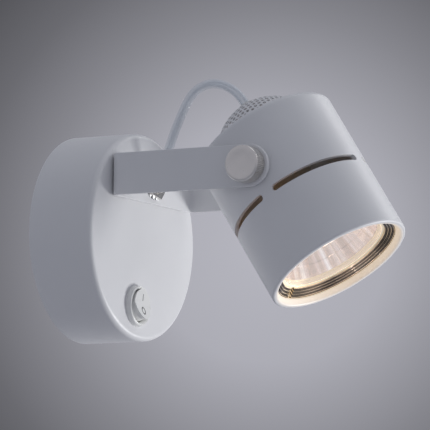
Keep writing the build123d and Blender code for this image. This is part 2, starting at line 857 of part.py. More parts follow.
with BuildPart() as head_shell:
    turn(
        head_frame,
        [
            (guard_foot + clearance, -head_rear),
            (head_radius, -head_rear),
            (head_radius, head_front),
            (lip_inside, head_front),
            (collar_radius, head_front - flare_depth),
            (collar_radius, ring_top + clearance),
            (groove_radius, ring_top + clearance),
            (groove_radius, ring_top - ring_thickness - clearance),
            (collar_radius, ring_top - ring_thickness - clearance),
            (collar_radius, lamp_rim_foot),
            (shoulder_bore / 2, lamp_rim_foot),
            (shoulder_bore / 2, lamp_rim_foot - shoulder_thickness),
            (head_bore, lamp_rim_foot - shoulder_thickness - 1.5),
            (head_bore, head_wall - head_rear),
            (guard_foot + clearance, head_wall - head_rear),
        ],
    )
    ends = head_shell.edges().filter_by(GeomType.CIRCLE).group_by(axis_of(head_frame))
    fillet(ends[-1], lip_radius)
    fillet(ends[0].sort_by(SortBy.RADIUS)[-1], head_rear_radius)
    with BuildSketch(head_frame.offset(slot_position - slot_width / 2)):
        Circle(head_radius + 1)
        Circle(head_bore - 1, mode=Mode.SUBTRACT)
        with PolarLocations(head_radius, slot_count):
            Rectangle(4 * head_wall, slot_bridge_width, mode=Mode.SUBTRACT)
    extrude(amount=slot_width, mode=Mode.SUBTRACT)
    with BuildSketch(*slot_ends):
        Circle(slot_width / 2)
    extrude(amount=head_wall + 2, mode=Mode.SUBTRACT)
    with BuildSketch(head_frame.offset(lug_front)):
        with Locations((0, head_bore), (0, -head_bore)):
            Rectangle(lug_width, 2 * lug_length)
        Circle(head_bore + head_wall / 2, mode=Mode.INTERSECT)
    extrude(amount=-lug_height)
    with BuildSketch(head_frame.offset(lug_front)):
        with Locations(*bridge_screw_places):
            Circle(bridge_screw_diameter / 2 + clearance)
    extrude(amount=-bridge_screw_length - clearance, mode=Mode.SUBTRACT)
    for side in (-1, 1):
        disc(
            side_frame(side), head_bore - 2, boss_hole, head_wall + 3, mode=Mode.SUBTRACT
        )
    with BuildSketch(rear_frame.offset(inner_face)):
        with PolarLocations(guard_screw_circle, guard_screw_count):
            Circle(guard_screw_diameter / 2 + clearance)
    extrude(amount=guard_screw_bite + clearance, mode=Mode.SUBTRACT)
head_shell.part.label = "head_shell"
export_step(head_shell.part, "parts/head_shell.step")

boss_seat = sqrt(head_bore**2 - (boss_flange_diameter / 2) ** 2)
boss_outside = head_radius - boss_recess
with BuildPart() as pivot_bosses:
    for side in (-1, 1):
        frame = side_frame(side)
        disc(frame, boss_outside - boss_length, boss_diameter / 2, boss_length)
        disc(
            frame,
            boss_seat - boss_flange_thickness,
            boss_flange_diameter / 2,
            boss_flange_thickness,
        )
        disc(
            frame,
            boss_outside - boss_length,
            stud_hole,
            boss_length,
            mode=Mode.SUBTRACT,
        )
pivot_bosses.part.label = "pivot_bosses"
export_step(pivot_bosses.part, "parts/pivot_bosses.step")

# ---------------------------------------------------------------- lamp holder
holder_back = lamp_base_end - holder_thickness
holder_screw_places = [(0, -holder_screw_spacing / 2), (0, holder_screw_spacing / 2)]
lengthwise = Plane(
    origin=head_frame.origin, x_dir=head_frame.y_dir, z_dir=head_frame.x_dir
)

with BuildPart() as holder_bridge:
    with BuildSketch(lengthwise):
        with BuildLine():
            strap = Polyline(
                (-bridge_length / 2, holder_back + bridge_rise),
                (-bridge_middle / 2, holder_back + bridge_rise),
                (-bridge_middle / 2, holder_back),
                (bridge_middle / 2, holder_back),
                (bridge_middle / 2, holder_back + bridge_rise),
                (bridge_length / 2, holder_back + bridge_rise),
            )
            offset(strap, bridge_thickness, side=Side.RIGHT)
        make_face()
    extrude(amount=bridge_width / 2, both=True)
    with BuildSketch(head_frame.offset(holder_back + bridge_rise)):
        with Locations(*bridge_screw_places):
            Circle(bridge_screw_diameter / 2 + clearance)
        with Locations(*holder_screw_places):
            Circle(holder_screw_diameter / 2 + clearance)
    extrude(amount=-bridge_rise - bridge_thickness, mode=Mode.SUBTRACT)
holder_bridge.part.label = "holder_bridge"
export_step(holder_bridge.part, "parts/holder_bridge.step")

with BuildPart() as bridge_screws:
    with BuildSketch(head_frame.offset(holder_back + bridge_rise)):
        with Locations(*bridge_screw_places):
            Circle(bridge_head_diameter / 2)
    extrude(amount=bridge_head_height)
    with BuildSketch(head_frame.offset(holder_back + bridge_rise)):
        with Locations(*bridge_screw_places):
            Circle(bridge_screw_diameter / 2)
    extrude(amount=-bridge_thickness - bridge_screw_length)
bridge_screws.part.label = "bridge_screws"
export_step(bridge_screws.part, "parts/bridge_screws.step")

with BuildPart() as lamp_holder:
    with BuildSketch(head_frame.offset(holder_back)):
        Circle(holder_diameter / 2)
        Rectangle(holder_width, holder_diameter, mode=Mode.INTERSECT)
    extrude(amount=holder_thickness)
    with BuildSketch(head_frame.offset(lamp_base_end)):
        with PolarLocations(0, 2):
            with BuildLine():
                twist = CenterArc((0, 0), pin_spacing / 2, 0, -twist_angle)
            SlotArc(twist, pin_diameter + 2 * clearance)
    extrude(amount=-holder_socket_depth, mode=Mode.SUBTRACT)
    with BuildSketch(head_frame.offset(holder_back)):
        with Locations(*holder_screw_places):
            Circle(holder_screw_diameter / 2 + clearance)
    extrude(amount=holder_screw_length + clearance, mode=Mode.SUBTRACT)
lamp_holder.part.label = "lamp_holder"
export_step(lamp_holder.part, "parts/lamp_holder.step")

with BuildPart() as holder_screws:
    with BuildSketch(head_frame.offset(holder_back - bridge_thickness)):
        with Locations(*holder_screw_places):
            Circle(holder_screw_head / 2)
    extrude(amount=-holder_screw_height)
    with BuildSketch(head_frame.offset(holder_back - bridge_thickness)):
        with Locations(*holder_screw_places):
            Circle(holder_screw_diameter / 2)
    extrude(amount=bridge_thickness + holder_screw_length)
holder_screws.part.label = "holder_screws"
export_step(holder_screws.part, "parts/holder_screws.step")

# ---------------------------------------------------------------- lamp
lamp_radius = lamp_diameter / 2
neck_radius = lamp_neck_diameter / 2
bowl_radius = lamp_radius - lamp_rim_step
glass_seat = lamp_front - glass_recess - glass_thickness
glass_hole = lamp_radius - lamp_rim_land
glass_radius = glass_hole - clearance
bowl_mouth_radius = glass_radius - glass_ledge
bowl_foot_radius = bowl_foot_diameter / 2


def bowl(foot_radius, foot, mouth_radius, mouth):
    """Three points up a paraboloid's side, from its foot to its mouth."""
    half = foot_radius + (mouth_radius - foot_radius) / sqrt(2)
    return (foot_radius, foot), (half, (foot + mouth) / 2), (mouth_radius, mouth)


with BuildPart() as lamp_reflector:
    with BuildSketch(across(head_frame)):
        with BuildLine():
            ThreePointArc(
                *bowl(neck_radius, lamp_neck_start, bowl_radius, lamp_rim_foot)
            )
            Polyline(
                (bowl_radius, lamp_rim_foot),
                (lamp_radius, lamp_rim_foot),
                (lamp_radius, lamp_front),
                (glass_hole, lamp_front),
                (glass_hole, glass_seat),
                (bowl_mouth_radius, glass_seat),
            )
            ThreePointArc(
                *bowl(bowl_foot_radius, bowl_foot, bowl_mouth_radius, glass_seat)
            )
            Polyline(
                (bowl_foot_radius, bowl_foot),
                (bowl_foot_radius, lamp_neck_start),
                (neck_radius, lamp_neck_start),
            )
        make_face()
    revolve(axis=axis_of(head_frame))
lamp_reflector.part.label = "lamp_reflector"
export_step(lamp_reflector.part, "parts/lamp_reflector.step")

with BuildPart() as lamp_glass:
    disc(head_frame, glass_seat, glass_radius, glass_thickness)
lamp_glass.part.label = "lamp_glass"
export_step(lamp_glass.part, "parts/lamp_glass.step")

burner_radius = burner_diameter / 2
with BuildPart() as lamp_burner:
    disc(head_frame, lamp_neck_start, burner_radius, burner_length)
    tip = lamp_burner.faces().sort_by(axis_of(head_frame))[-1]
    chamfer(tip.edges(), burner_bevel)
lamp_burner.part.label = "lamp_burner"
export_step(lamp_burner.part, "parts/lamp_burner.step")

base_radius = neck_radius - lamp_base_waist
collar_start = lamp_neck_start - lamp_base_collar
with BuildPart() as lamp_base:
    turn(
        head_frame,
        [
            (0, lamp_base_end),
            (base_radius - lamp_base_bevel, lamp_base_end),
            (base_radius, lamp_base_end + lamp_base_bevel),
            (base_radius, collar_start),
            (neck_radius, collar_start + lamp_base_waist),
            (neck_radius, lamp_neck_start),
            (0, lamp_neck_start),
        ],
    )
lamp_base.part.label = "lamp_base"
export_step(lamp_base.part, "parts/lamp_base.step")

with BuildPart() as lamp_pins:
    with BuildSketch(head_frame.offset(lamp_base_end)):
        with GridLocations(pin_spacing, 1, 2, 1):
            Circle(pin_neck_diameter / 2)
    extrude(amount=-pin_neck_length)
    with BuildSketch(head_frame.offset(lamp_base_end - pin_neck_length)):
        with GridLocations(pin_spacing, 1, 2, 1):
            Circle(pin_diameter / 2)
    extrude(amount=pin_neck_length - pin_length)
lamp_pins.part.label = "lamp_pins"
export_step(lamp_pins.part, "parts/lamp_pins.step")

# ---------------------------------------------------------------- sprung ring
treads = []
soffits = []
for step in range(ring_steps):
    inner_edge = ring_inner_diameter / 2 + step * ring_step_out
    tread = ring_foot + ring_thickness + step * ring_step_up
    treads += [(inner_edge, tread), (inner_edge + ring_step_out, tread)]
    soffit = inner_edge + ring_step_out + ring_thickness
    soffits += [(soffit, tread - ring_thickness)]
    soffits += [(soffit, tread - ring_thickness + ring_step_up)]

with BuildPart() as retaining_ring:
    turn(
        head_frame,
        [
            (ring_inner_diameter / 2, ring_foot),
            *soffits[:-2],
            (collar_radius - face_gap, soffits[-2][1]),
            (collar_radius - face_gap, ring_top - ring_thickness),
            (collar_radius + ring_bead, ring_top - ring_thickness),
            (collar_radius + ring_bead, ring_top),
            (ring_outside, ring_top),
            *reversed(treads),
        ],
    )
    with BuildSketch(head_frame.offset(ring_foot)):
        with PolarLocations(ring_outside, 1, start_angle=ring_split_angle):
            Rectangle(ring_outside, ring_split)
    extrude(amount=ring_top - ring_foot, mode=Mode.SUBTRACT)
retaining_ring.part.label = "retaining_ring"
export_step(retaining_ring.part, "parts/retaining_ring.step")

# ---------------------------------------------------------------- cable
route = [bracket_frame.from_local_coords(Vector(*point)) for point in cable_route]
route += [
    head_frame.from_local_coords(Vector(0, 0, height)) for height in cable_into_head
]
bends = []
for before, corner, after in zip(route, route[1:], route[2:]):
    first_run = corner - before
    second_run = after - corner
    half_turn = radians(first_run.get_angle(second_run)) / 2
    bends.append(0.45 * min(first_run.length, second_run.length) / tan(half_turn))
print("cable bends", [round(bend, 1) for bend in bends])

with BuildPart() as head_cable:
    with BuildLine() as cable_line:
        FilletPolyline(*route, radius=bends)
    with BuildSketch(Plane(origin=route[0], z_dir=route[1] - route[0])):
        Circle(cable_diameter / 2)
    sweep()
cable_length = cable_line.wire().length
print("cable length", round(cable_length, 2))
print("cable volume", head_cable.part.volume / (cable_length * pi * cable_diameter**2 / 4))
head_cable.part.label = "head_cable"
export_step(head_cable.part, "parts/head_cable.step")
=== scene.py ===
"""Dresses the pivoting spotlight wall light and sets its stage.

Lengths are in metres, in the frame of the solids: the wall is the XZ plane, the light
stands out along -Y and +Z is up.
"""
from math import asin, atan2, ceil, cos, pi, radians, sin, sqrt, tau

import bpy
from mathutils import Matrix, Vector


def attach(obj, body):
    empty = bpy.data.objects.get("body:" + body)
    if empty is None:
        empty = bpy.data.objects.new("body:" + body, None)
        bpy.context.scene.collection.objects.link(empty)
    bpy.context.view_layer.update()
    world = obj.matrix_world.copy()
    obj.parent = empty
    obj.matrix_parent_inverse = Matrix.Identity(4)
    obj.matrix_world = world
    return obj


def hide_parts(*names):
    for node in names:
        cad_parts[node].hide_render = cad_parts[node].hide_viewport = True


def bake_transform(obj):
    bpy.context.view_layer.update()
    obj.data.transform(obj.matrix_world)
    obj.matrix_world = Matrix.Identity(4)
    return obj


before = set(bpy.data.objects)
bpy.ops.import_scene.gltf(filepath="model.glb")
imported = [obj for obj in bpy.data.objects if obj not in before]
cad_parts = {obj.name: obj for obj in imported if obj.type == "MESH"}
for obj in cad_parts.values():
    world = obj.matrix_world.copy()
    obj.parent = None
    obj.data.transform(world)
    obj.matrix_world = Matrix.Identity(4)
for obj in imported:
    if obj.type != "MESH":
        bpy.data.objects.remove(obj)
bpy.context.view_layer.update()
MM = 0.001

# ---------------------------------------------------------------- places
CANOPY_DEPTH = 30.4 * MM
SWITCH_DROP = 30.9 * MM
NIPPLE_RISE = 24.4 * MM
WEB_REACH = 30.94 * MM
PIVOT_REACH = 98.1 * MM
SWING = radians(10.5)
TILT = radians(57.4)

bracket_right = Vector((cos(SWING), 0, sin(SWING)))
bracket_out = Vector((0, -1, 0))
bracket_up = Vector((-sin(SWING), 0, cos(SWING)))
nipple_place = Vector((0, -WEB_REACH, NIPPLE_RISE))
pivot_place = Vector((0, -PIVOT_REACH, NIPPLE_RISE))
head_out = bracket_out * cos(TILT) - bracket_up * sin(TILT)
head_up = bracket_up * cos(TILT) + bracket_out * sin(TILT)


def frame_matrix(origin, right, up, out):
    """Local X, Y and Z go to right, up and out."""
    turned = Matrix((right, up, out)).transposed().to_4x4()
    return Matrix.Translation(origin) @ turned


bracket_place = frame_matrix(nipple_place, bracket_right, bracket_up, bracket_out)
head_place = frame_matrix(pivot_place, bracket_right, head_up, head_out)


# ---------------------------------------------------------------- small helpers
def deselect():
    if bpy.context.object and bpy.context.object.mode != "OBJECT":
        bpy.ops.object.mode_set(mode="OBJECT")
    bpy.ops.object.select_all(action="DESELECT")


def make_active(piece):
    deselect()
    piece.select_set(True)
    bpy.context.view_layer.objects.active = piece


def settle(piece, place):
    """Put a piece that was modelled about its own origin where it belongs."""
    piece.matrix_world = place @ piece.matrix_world
    bpy.context.view_layer.update()
    make_active(piece)
    bpy.ops.object.transform_apply(location=True, rotation=True, scale=True)


def edit(piece, mode=(True, False, False)):
    make_active(piece)
    bpy.context.tool_settings.mesh_select_mode = mode
    bpy.ops.object.mode_set(mode="EDIT")
    bpy.ops.mesh.select_all(action="SELECT")


def finish_editing():
    bpy.ops.object.mode_set(mode="OBJECT")


def select_points(piece, wanted):
    """Leave only the vertices selected whose places pass a test."""
    bpy.ops.mesh.select_all(action="DESELECT")
    finish_editing()
    for vertex in piece.data.vertices:
        vertex.select = wanted(vertex.co)
    bpy.ops.object.mode_set(mode="EDIT")


def select_faces(piece, wanted):
    """Leave only the faces selected that pass a test of their middle and normal."""
    bpy.ops.mesh.select_mode(type="FACE")
    bpy.ops.mesh.select_all(action="DESELECT")
    finish_editing()
    for face in piece.data.polygons:
        face.select = wanted(face.center, face.normal)
    bpy.ops.object.mode_set(mode="EDIT")


def use_modifier(piece, kind, **settings):
    make_active(piece)
    change = piece.modifiers.new(kind.lower(), kind)
    for name, value in settings.items():
        setattr(change, name, value)
    bpy.ops.object.modifier_apply(modifier=change.name)


def join(pieces, name):
    deselect()
    for piece in pieces:
        piece.select_set(True)
    bpy.context.view_layer.objects.active = pieces[0]
    if len(pieces) > 1:
        bpy.ops.object.join()
    joined = bpy.context.object
    joined.name = name
    joined.data.name = name
    return joined


def coat(piece, material):
    piece.data.materials.clear()
    piece.data.materials.append(material)


def smooth(piece, angle=35):
    make_active(piece)
    bpy.ops.object.shade_smooth_by_angle(angle=radians(angle))


def solid_node(name):
    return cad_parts[name]


def dress(node, material):
    """Give a solid of the frame a better material."""
    for place in solid_node(node).material_slots:
        place.material = material


# ---------------------------------------------------------------- node helpers
def new_material(name, colour, roughness, metallic=0.0):
    material = bpy.data.materials.new(name)
    material.use_nodes = True
    shader = material.node_tree.nodes["Principled BSDF"]
    shader.inputs["Base Color"].default_value = (*colour, 1)
    shader.inputs["Roughness"].default_value = roughness
    shader.inputs["Metallic"].default_value = metallic
    return material, material.node_tree, shader


def object_coordinates(tree):
    return tree.nodes.new("ShaderNodeTexCoord").outputs["Object"]


def noise(tree, scale, detail=2.0, vector=None):
    texture = tree.nodes.new("ShaderNodeTexNoise")
    texture.inputs["Scale"].default_value = scale
    texture.inputs["Detail"].default_value = detail
    tree.links.new(vector or object_coordinates(tree), texture.inputs["Vector"])
    return texture.outputs["Fac"]


def map_range(tree, value, start, end, low=0.0, high=1.0):
    """Map start to end onto low to high, and hold the result between them."""
    stretch = tree.nodes.new("ShaderNodeMapRange")
    stretch.inputs["From Min"].default_value = start
    stretch.inputs["From Max"].default_value = end
    stretch.inputs["To Min"].default_value = low
    stretch.inputs["To Max"].default_value = high
    tree.links.new(value, stretch.inputs["Value"])
    return stretch.outputs["Result"]


def spread(tree, value, low, high):
    """Stretch a 0 to 1 value between two numbers."""
    return map_range(tree, value, 0.0, 1.0, low, high)


def sum_up(tree, operation, first, second=None):
    """A sum on one or two values; a plain number goes on the node's own socket."""
    node = tree.nodes.new("ShaderNodeMath")
    node.operation = operation
    for socket, value in zip(node.inputs, (first, second)):
        if isinstance(value, bpy.types.NodeSocket):
            tree.links.new(value, socket)
        elif value is not None:
            socket.default_value = value
    return node.outputs["Value"]


def vector_sum(tree, operation, vector, constant=None):
    """A sum on a vector and a constant one; it gives a vector or a number."""
    node = tree.nodes.new("ShaderNodeVectorMath")
    node.operation = operation
    tree.links.new(vector, node.inputs[0])
    if constant is not None:
        node.inputs[1].default_value = constant
    is_number = operation in ("DISTANCE", "DOT_PRODUCT", "LENGTH")
    return node.outputs["Value" if is_number else "Vector"]


def blend_colours(tree, factor, low, high):
    mix = tree.nodes.new("ShaderNodeMix")
    mix.data_type = "RGBA"
    mix.inputs["A"].default_value = (*low, 1)
    mix.inputs["B"].default_value = (*high, 1)
    tree.links.new(factor, mix.inputs["Factor"])
    return mix.outputs["Result"]


def colour_by(tree, shader, socket, factor, low, high):
    tree.links.new(blend_colours(tree, factor, low, high), shader.inputs[socket])


def vary_roughness(tree, shader, grain, low, high):
    rough = spread(tree, noise(tree, grain, 2), low, high)
    tree.links.new(rough, shader.inputs["Roughness"])


def add_bump(tree, shader, height, distance, strength):
    bump = tree.nodes.new("ShaderNodeBump")
    bump.inputs["Distance"].default_value = distance
    bump.inputs["Strength"].default_value = strength
    tree.links.new(height, bump.inputs["Height"])
    tree.links.new(bump.outputs["Normal"], shader.inputs["Normal"])


def along_head(tree, start, end):
    """0 to 1 along the head's axis, between two heights from its pivot."""
    height = vector_sum(tree, "DOT_PRODUCT", object_coordinates(tree), head_out)
    pivot_height = head_out.dot(pivot_place)
    return map_range(tree, height, pivot_height + start, pivot_height + end)


def across_axis(tree):
    """A vector square to the head's axis, as long as the way from the axis."""
    from_pivot = vector_sum(tree, "SUBTRACT", object_coordinates(tree), pivot_place)
    return vector_sum(tree, "CROSS_PRODUCT", from_pivot, head_out)


# ---------------------------------------------------------------- materials
LAMP_RIM = (30 * MM, 41 * MM)  # heights over which painted light takes the lamp's glass from dark to pale
MOUTH_DEPTH = (38 * MM, 41 * MM)  # heights over which the painted glow in the mouth starts
MOUTH_REACH = (30.8 * MM, 29.0 * MM)  # from its outside, without painted glow, to its inside, with full painted glow
REFLECTION_RING_PITCH = 1.1 * MM  # of the painted reflection rings, dark brown and bright, on the retaining ring
# a band across one side of the lamp's back, where glowing specks are painted
GLOW_BAND_SIDE = Vector((0.487, -0.873, 0.0))
GLOW_BAND_FROM = 79.5 * MM  # from the origin toward the side with the painted glow
GLOW_BAND_TO = 98.5 * MM
GLOW_BAND_FADE = 2 * MM


def white_enamel():
    material, tree, shader = new_material("white_enamel", (0.80, 0.80, 0.81), 0.42)
    shader.inputs["Coat Weight"].default_value = 0.15
    shader.inputs["Coat Roughness"].default_value = 0.3
    mottle = noise(tree, 60, 3)
    colour_by(
        tree, shader, "Base Color", mottle, (0.78, 0.78, 0.79), (0.82, 0.82, 0.83)
    )
    vary_roughness(tree, shader, 400, 0.38, 0.48)
    add_bump(tree, shader, noise(tree, 1800, 2), 0.00004, 0.35)
    return material


def paint_mouth_glow(material):
    """The enamel inside the head's mouth gets a painted glow: emission standing in for the
    lamp's light there.
    """
    tree = material.node_tree
    shader = tree.nodes["Principled BSDF"]
    reach = vector_sum(tree, "LENGTH", across_axis(tree))
    inside = map_range(tree, reach, *MOUTH_REACH)
    lit = sum_up(tree, "MULTIPLY", inside, along_head(tree, *MOUTH_DEPTH))
    shader.inputs["Emission Color"].default_value = (1.0, 0.74, 0.42, 1)
    strength = spread(tree, lit, 0.0, 0.42)
    tree.links.new(strength, shader.inputs["Emission Strength"])


def switch_plastic():
    material, tree, shader = new_material("switch_plastic", (0.84, 0.84, 0.82), 0.3)
    vary_roughness(tree, shader, 700, 0.26, 0.36)
    add_bump(tree, shader, noise(tree, 2500, 2), 0.00002, 0.25)
    return material


def plated(name, colour, roughness, streak):
    """Bright plating with a faint unevenness."""
    material, tree, shader = new_material(name, colour, roughness, 1.0)
    dull = tuple(channel * 0.88 for channel in colour)
    colour_by(tree, shader, "Base Color", noise(tree, streak, 3), dull, colour)
    vary_roughness(tree, shader, streak * 3, roughness * 0.7, roughness * 1.4)
    return material


def plain_stuff(name, colour, roughness, grain):
    material, tree, shader = new_material(name, colour, roughness)
    dark = tuple(channel * 0.9 for channel in colour)
    colour_by(tree, shader, "Base Color", noise(tree, grain, 3), dark, colour)
    add_bump(tree, shader, noise(tree, grain * 4, 2), 0.00003, 0.3)
    return material


def clear_stuff(name, colour, roughness, alpha):
    """Glass or clear plastic, seen through by its alpha."""
    material, tree, shader = new_material(name, colour, roughness)
    shader.inputs["IOR"].default_value = 1.45
    shader.inputs["Alpha"].default_value = alpha
    vary_roughness(tree, shader, 300, roughness * 0.6, roughness * 1.4)
    return material


def glowing(name, colour, strength):
    material, tree, shader = new_material(name, colour, 0.4)
    shader.inputs["Emission Color"].default_value = (*colour, 1)
    shader.inputs["Emission Strength"].default_value = strength
    return material


def painted_glow_band(tree):
    """1 in a band across one side of the lamp's back where glowing specks are painted, 0
    elsewhere.
    """
    place = vector_sum(tree, "DOT_PRODUCT", object_coordinates(tree), GLOW_BAND_SIDE)
    starts = map_range(tree, place, GLOW_BAND_FROM, GLOW_BAND_FROM + GLOW_BAND_FADE)
    ends = map_range(tree, place, GLOW_BAND_TO, GLOW_BAND_TO - GLOW_BAND_FADE)
    return sum_up(tree, "MULTIPLY", starts, ends)


def glass_body_with_painted_glow():
    """The lamp's pressed glass with painted light: dark below its rim, pale cream with a
    painted glow at its rim, and glowing amber specks painted in a band across its back.
    """
    material, tree, shader = new_material("glass_body_with_painted_glow", (0.5, 0.36, 0.2), 0.3)
    height = along_head(tree, *LAMP_RIM)
    colour_by(
        tree, shader, "Base Color", height, (0.045, 0.05, 0.06), (0.9, 0.8, 0.62)
    )
    colour_by(
        tree, shader, "Emission Color", height, (0.8, 0.36, 0.05), (1.0, 0.86, 0.66)
    )
    # painted glow: amber specks, kept to the band
    specks = map_range(tree, noise(tree, 1100, 3), 0.53, 0.7, 0.05, 1.3)
    painted_speck_glow = sum_up(tree, "MULTIPLY", specks, painted_glow_band(tree))
    strength = sum_up(tree, "ADD", spread(tree, height, 0.0, 0.4), painted_speck_glow)
    tree.links.new(strength, shader.inputs["Emission Strength"])
    return material


def facet_coat_with_painted_rays():
    """The reflecting coat in the bowl, lit from the capsule, with bright rays of painted
    glow: emission and a paler colour that vary around the axis.
    """
    material, tree, shader = new_material("facet_coat_with_painted_rays", (0.93, 0.89, 0.87), 0.1, 1.0)
    around = vector_sum(tree, "NORMALIZE", across_axis(tree))
    # painted glow and paler colour in rays around the axis
    ray = map_range(tree, noise(tree, 5.0, 3, around), 0.42, 0.68)
    colour_by(tree, shader, "Base Color", ray, (0.86, 0.7, 0.62), (0.92, 0.93, 0.98))
    colour_by(
        tree, shader, "Emission Color", ray, (0.85, 0.5, 0.33), (0.95, 0.95, 1.0)
    )
    strength = spread(tree, ray, 0.08, 0.6)
    tree.links.new(strength, shader.inputs["Emission Strength"])
    return material


def steel_with_painted_reflections():
    """Bright stepped steel with painted reflections: rings of dark brown and bright colour
    round the head's axis.
    """
    material, tree, shader = new_material("steel_with_painted_reflections", (0.5, 0.45, 0.4), 0.1, 1.0)
    reach = vector_sum(tree, "LENGTH", across_axis(tree))
    # painted reflection: dark brown and bright rings by the distance from the axis
    painted_rings = sum_up(tree, "SINE", sum_up(tree, "MULTIPLY", reach, tau / REFLECTION_RING_PITCH))
    uneven = spread(tree, noise(tree, 60, 2), -1.0, 1.0)
    bright = map_range(tree, sum_up(tree, "ADD", painted_rings, uneven), -0.1, 1.1)
    colour_by(
        tree, shader, "Base Color", bright, (0.05, 0.034, 0.024), (0.9, 0.8, 0.66)
    )
    vary_roughness(tree, shader, 500, 0.06, 0.16)
    return material


enamel = white_enamel()
# a copy of the enamel with painted glow inside the head's mouth
painted_glow_enamel = white_enamel()
paint_mouth_glow(painted_glow_enamel)
plastic = switch_plastic()
zinc = plated("zinc_plate", (0.55, 0.56, 0.58), 0.38, 300)
nickel = plated("nickel_plate", (0.68, 0.66, 0.63), 0.22, 200)
knob_nickel = plated("knob_nickel", (0.84, 0.82, 0.79), 0.3, 160)
brass = plated("brass", (0.72, 0.5, 0.22), 0.3, 200)
nylon = plain_stuff("natural_nylon", (0.72, 0.72, 0.68), 0.45, 500)
ceramic = plain_stuff("white_ceramic", (0.72, 0.69, 0.61), 0.6, 300)
cover_glass = clear_stuff("cover_glass", (1.0, 0.97, 0.93), 0.03, 0.3)
clear_sleeve = clear_stuff("clear_sleeve", (0.86, 0.9, 0.94), 0.12, 0.42)
lead_stuff = plain_stuff("lead_stuff", (0.9, 0.92, 0.95), 0.35, 400)
quartz = glowing("lit_capsule", (1.0, 0.88, 0.74), 4.0)

coats = {
    enamel: ("canopy_cover", "bracket"),
    painted_glow_enamel: ("head_shell",),
    plastic: ("switch_body", "switch_rocker"),
    zinc: (
        "wall_plate",
        "terminal_screws",
        "block_screw",
        "back_nut",
        "lock_washer",
        "guard_screws",
        "holder_bridge",
        "bridge_screws",
        "holder_screws",
    ),
    nickel: ("nipple", "front_nut", "lamp_pins"),
    brass: ("earth_screw", "terminal_tubes", "switch_blades", "pivot_bosses"),
    nylon: ("terminal_block", "slip_washer", "arm_washers", "cable_grommet"),
    ceramic: ("lamp_holder", "lamp_base"),
    steel_with_painted_reflections(): ("retaining_ring",),
    cover_glass: ("lamp_glass",),
    quartz: ("lamp_burner",),
    glass_body_with_painted_glow(): ("lamp_reflector",),
}
for material, nodes in coats.items():
    for node in nodes:
        dress(node, material)

# ---------------------------------------------------------------- pierced dome
HEAD_REAR = 21.6 * MM
HEAD_WALL = 2.0 * MM
DOME_RADIUS = 24.4 * MM
DOME_HEIGHT = 14.6 * MM
DOME_SHEET = 0.8 * MM
DOME_FLANGE = 3.4 * MM
HOLE_PITCH = 2.7 * MM
HOLE_WIDTH = 1.85 * MM
CABLE_HOLE = 3.7 * MM  # radius, under the grommet

dome_sink = DOME_RADIUS - DOME_HEIGHT
dome_foot = sqrt(DOME_RADIUS**2 - dome_sink**2)
foot_reach = DOME_RADIUS * asin(dome_foot / DOME_RADIUS)


def pierced_sheet(reach):
    """A flat round sheet of six-sided cells, each with a round hole, in staggered rows."""
    cell = HOLE_PITCH / sqrt(3)
    deselect()
    bpy.ops.mesh.primitive_circle_add(vertices=6, radius=cell, fill_type="NGON")
    sheet = bpy.context.object
    edit(sheet, (False, False, True))
    bpy.ops.mesh.inset(thickness=(HOLE_PITCH - HOLE_WIDTH) / 2)
    bpy.ops.mesh.delete(type="FACE")
    bpy.ops.mesh.select_all(action="SELECT")
    bpy.ops.mesh.duplicate()
    bpy.ops.transform.translate(value=(HOLE_PITCH / 2, cell * 1.5, 0))
    finish_editing()
    columns = 2 * ceil(reach / HOLE_PITCH) + 1
    rows = 2 * ceil(reach / (3 * cell)) + 1
    for count, step in ((columns, (HOLE_PITCH, 0, 0)), (rows, (0, cell * 3, 0))):
        use_modifier(
            sheet,
            "ARRAY",
            count=count,
            use_relative_offset=False,
            use_constant_offset=True,
            constant_offset_displace=step,
        )
    middle = Vector((columns // 2 * HOLE_PITCH, rows // 2 * 3 * cell, 0))
    # rows lie along the head's up direction at its sides
    settle(sheet, Matrix.Rotation(pi / 2, 4, "Z") @ Matrix.Translation(-middle))
    edit(sheet)
    bpy.ops.mesh.remove_doubles(threshold=cell / 20)
    select_points(sheet, lambda place: not CABLE_HOLE < place.length < reach)
    bpy.ops.mesh.delete(type="VERT")
    finish_editing()
    use_modifier(sheet, "SUBSURF", levels=1, render_levels=1)
    return sheet


def over_dome(place):
    """Press a point of the flat sheet over the dome, down its foot and along its flange."""
    reach = place.length
    outward = place / reach
    if reach <= foot_reach:
        angle = reach / DOME_RADIUS
        pressed = outward * DOME_RADIUS * sin(angle)
        pressed.z = DOME_RADIUS * cos(angle)
        return pressed
    down = reach - foot_reach
    pressed = outward * (dome_foot + max(0, down - HEAD_WALL))
    pressed.z = dome_sink - min(down, HEAD_WALL)
    return pressed


guard = pierced_sheet(foot_reach + HEAD_WALL + DOME_FLANGE)
for vertex in guard.data.vertices:
    vertex.co = over_dome(vertex.co)
use_modifier(guard, "SOLIDIFY", thickness=DOME_SHEET, offset=-1)
guard = join([guard], "guard_mesh")
smooth(guard, 50)
dome_middle = head_place @ Matrix.Translation((0, 0, dome_sink - HEAD_REAR))
settle(guard, dome_middle @ Matrix.Rotation(pi, 4, "X"))
coat(guard, enamel)
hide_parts("rear_guard")
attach(guard, "head")

# ---------------------------------------------------------------- knobs
KNOB_RADIUS = 7.8 * MM
KNOB_HEIGHT = 6.8 * MM
KNOB_EDGE = 1.0 * MM
KNOB_FLUTES = 64
FLUTE_DEPTH = 0.4 * MM
STUD_RADIUS = 2.0 * MM
STUD_LENGTH = 10.2 * MM
STUD_SINK = 0.5 * MM  # into the knob
ARM_OUTSIDE = 34.5 * MM  # from the pivot to a knob's underside
DISH = [(0.8, 0.0), (1.5, -0.22), (2.0, -0.14), (1.5, -0.04)]  # inset and depth, mm
EDGE_STEPS = 4


